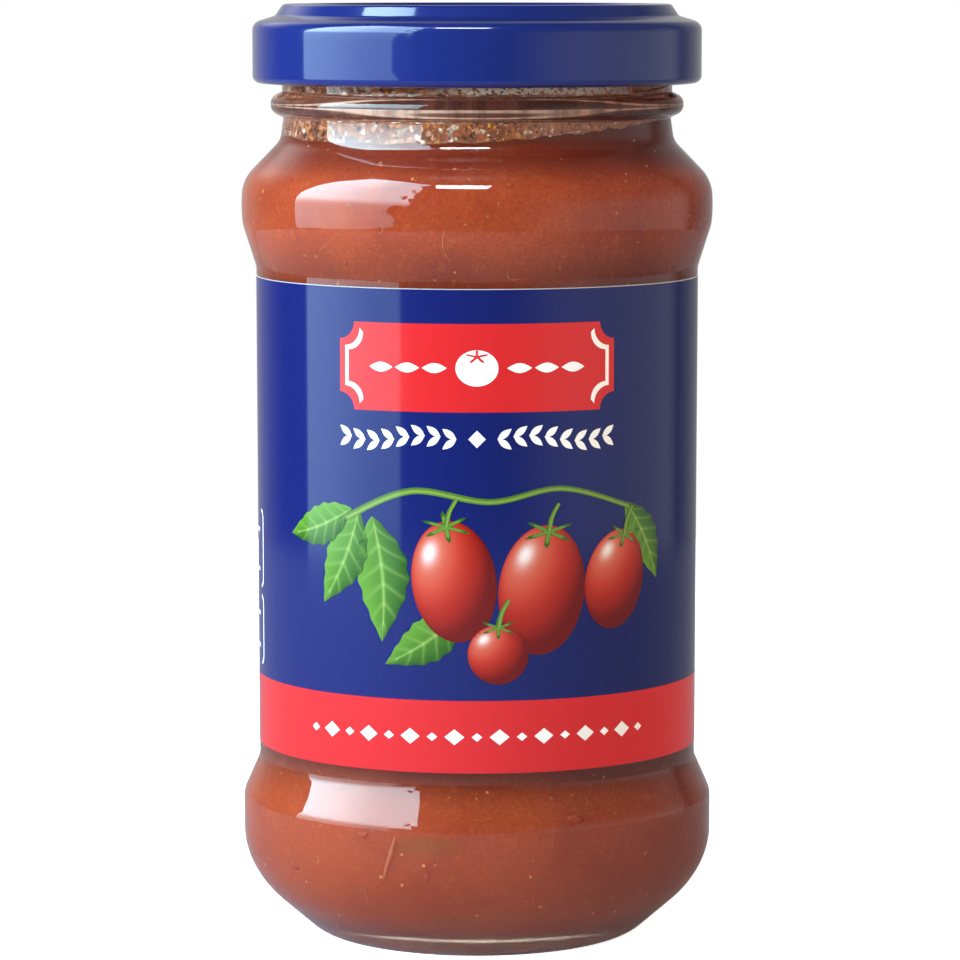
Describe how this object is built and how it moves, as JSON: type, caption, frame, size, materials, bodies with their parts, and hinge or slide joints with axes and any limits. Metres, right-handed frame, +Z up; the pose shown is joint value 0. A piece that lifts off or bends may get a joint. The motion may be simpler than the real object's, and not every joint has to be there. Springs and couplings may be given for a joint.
{
  "type": "tomato sauce jar",
  "caption": "Shut glass jar of tomato sauce with a waisted body, a blue lug lid and a wrap-round label, standing on its base.",
  "frame": {"origin": "centre of the standing ring under the base", "axes": "+Z up along the jar's axis to the lid, -Y towards the front of the label, +X to the right of the front"},
  "size_m": [0.0732, 0.0732, 0.1449],
  "materials": {
    "clear_glass": "clear, smooth, faintly green in its thickness",
    "tomato_sauce": "thick cooked tomato sauce with fine pulp, specks and oil",
    "lid_enamel": "glossy royal blue enamel on pressed steel",
    "label_paper": "satin coated paper printed navy with a red band"
  },
  "bodies": {
    "root": {"glass_jar": "clear_glass", "sauce": "tomato_sauce", "lid": "lid_enamel", "label": "label_paper"}
  },
  "joints": []
}
